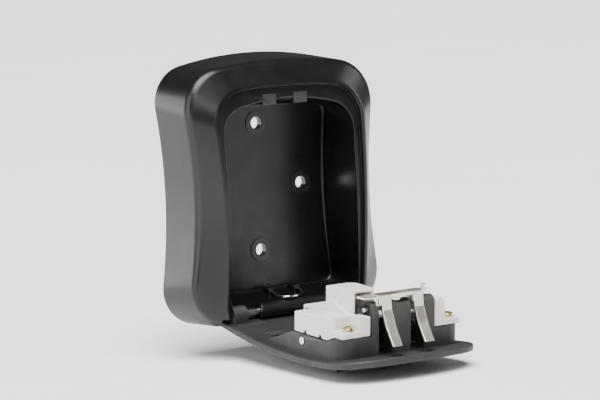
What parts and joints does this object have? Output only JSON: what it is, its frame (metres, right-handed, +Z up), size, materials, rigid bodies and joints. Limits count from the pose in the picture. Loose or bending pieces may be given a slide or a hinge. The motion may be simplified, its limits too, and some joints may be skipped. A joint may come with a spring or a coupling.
{
  "type": "wall-mounted key lock box",
  "caption": "Wall-mounted cast metal box for spare keys, with a drop-down door that carries a number-wheel lock and a two-fingered latch.",
  "frame": {"origin": "centre of the flat back face that lies against the wall", "axes": "+Y into the wall, +Z up, +X to the right of a person facing the box"},
  "size_m": [0.0964, 0.1175, 0.125],
  "materials": {
    "housing_paint": "satin black paint over a zinc casting",
    "door_casting": "matte charcoal finish over a zinc casting, as cast",
    "cover_plastic": "light warm grey moulded plastic",
    "latch_steel": "pressed steel with a warm passivated finish",
    "bright_steel": "bright plated steel rod and wire",
    "spring_steel": "drawn spring wire",
    "pressed_steel": "pressed steel sheet, zinc plated",
    "brass": "turned brass",
    "dial_plastic": "black moulded plastic with pale digits",
    "black_plastic": "black moulded plastic"
  },
  "bodies": {
    "root": {"housing": "housing_paint", "hinge_pin": "bright_steel", "key_hook": "bright_steel"},
    "door": {"door_casting": "door_casting", "mechanism_cover": "cover_plastic", "end_cover": "cover_plastic", "cover_screw_left": "brass", "cover_screw_right": "brass", "latch_pin": "bright_steel", "faceplate": "black_plastic", "detent_spring": "spring_steel", "latch_spring": "spring_steel", "release_spring": "spring_steel", "reset_spring": "spring_steel"},
    "latch": {"latch_plate": "latch_steel"},
    "release": {"release_slide": "pressed_steel", "locking_comb": "pressed_steel", "release_button": "black_plastic"},
    "dial_1_body": {"dial_1": "dial_plastic", "cam_1": "brass"},
    "dial_2_body": {"dial_2": "dial_plastic", "cam_2": "brass"},
    "dial_3_body": {"dial_3": "dial_plastic", "cam_3": "brass"},
    "dial_4_body": {"dial_4": "dial_plastic", "cam_4": "brass"},
    "shaft": {"dial_shaft": "bright_steel"},
    "shutter": {"shutter": "black_plastic"}
  },
  "joints": [
    {"name": "door_hinge", "type": "hinge", "parent": "root", "child": "door", "pos_m": [0, -0.0248, -0.0496], "axis": [1, 0, 0], "range_deg": [-94, 0]},
    {"name": "latch_pivot", "type": "hinge", "parent": "door", "child": "latch", "pos_m": [0, -0.10117, -0.04131], "axis": [1, 0, 0], "range_deg": [0, 8], "stiffness_Nm_per_rad": 0.05, "springref_deg": -11.46, "deforming": ["latch_spring"]},
    {"name": "release_travel", "type": "slide", "parent": "door", "child": "release", "axis": [0, -0.9976, -0.0698], "range_m": [0, 0.0028], "stiffness_N_per_m": 400, "springref_m": -0.002, "deforming": ["release_spring"]},
    {"name": "dial_1_spin", "type": "hinge", "parent": "door", "child": "dial_1_body", "pos_m": [-0.0144, -0.07537, -0.05474], "axis": [1, 0, 0], "continuous": true},
    {"name": "dial_2_spin", "type": "hinge", "parent": "door", "child": "dial_2_body", "pos_m": [-0.0048, -0.07537, -0.05474], "axis": [1, 0, 0], "continuous": true},
    {"name": "dial_3_spin", "type": "hinge", "parent": "door", "child": "dial_3_body", "pos_m": [0.0048, -0.07537, -0.05474], "axis": [1, 0, 0], "continuous": true},
    {"name": "dial_4_spin", "type": "hinge", "parent": "door", "child": "dial_4_body", "pos_m": [0.0144, -0.07537, -0.05474], "axis": [1, 0, 0], "continuous": true},
    {"name": "code_reset", "type": "slide", "parent": "door", "child": "shaft", "axis": [1, 0, 0], "range_m": [0, 0.002], "stiffness_N_per_m": 600, "springref_m": -0.002, "deforming": ["reset_spring"]},
    {"name": "shutter_slide", "type": "slide", "parent": "door", "child": "shutter", "axis": [0, 0.9976, 0.0698], "range_m": [0, 0.02]}
  ],
  "couplings": [
    {"joint": "latch_pivot", "follows": "release_travel", "rad_per_m": 49.8}
  ]
}
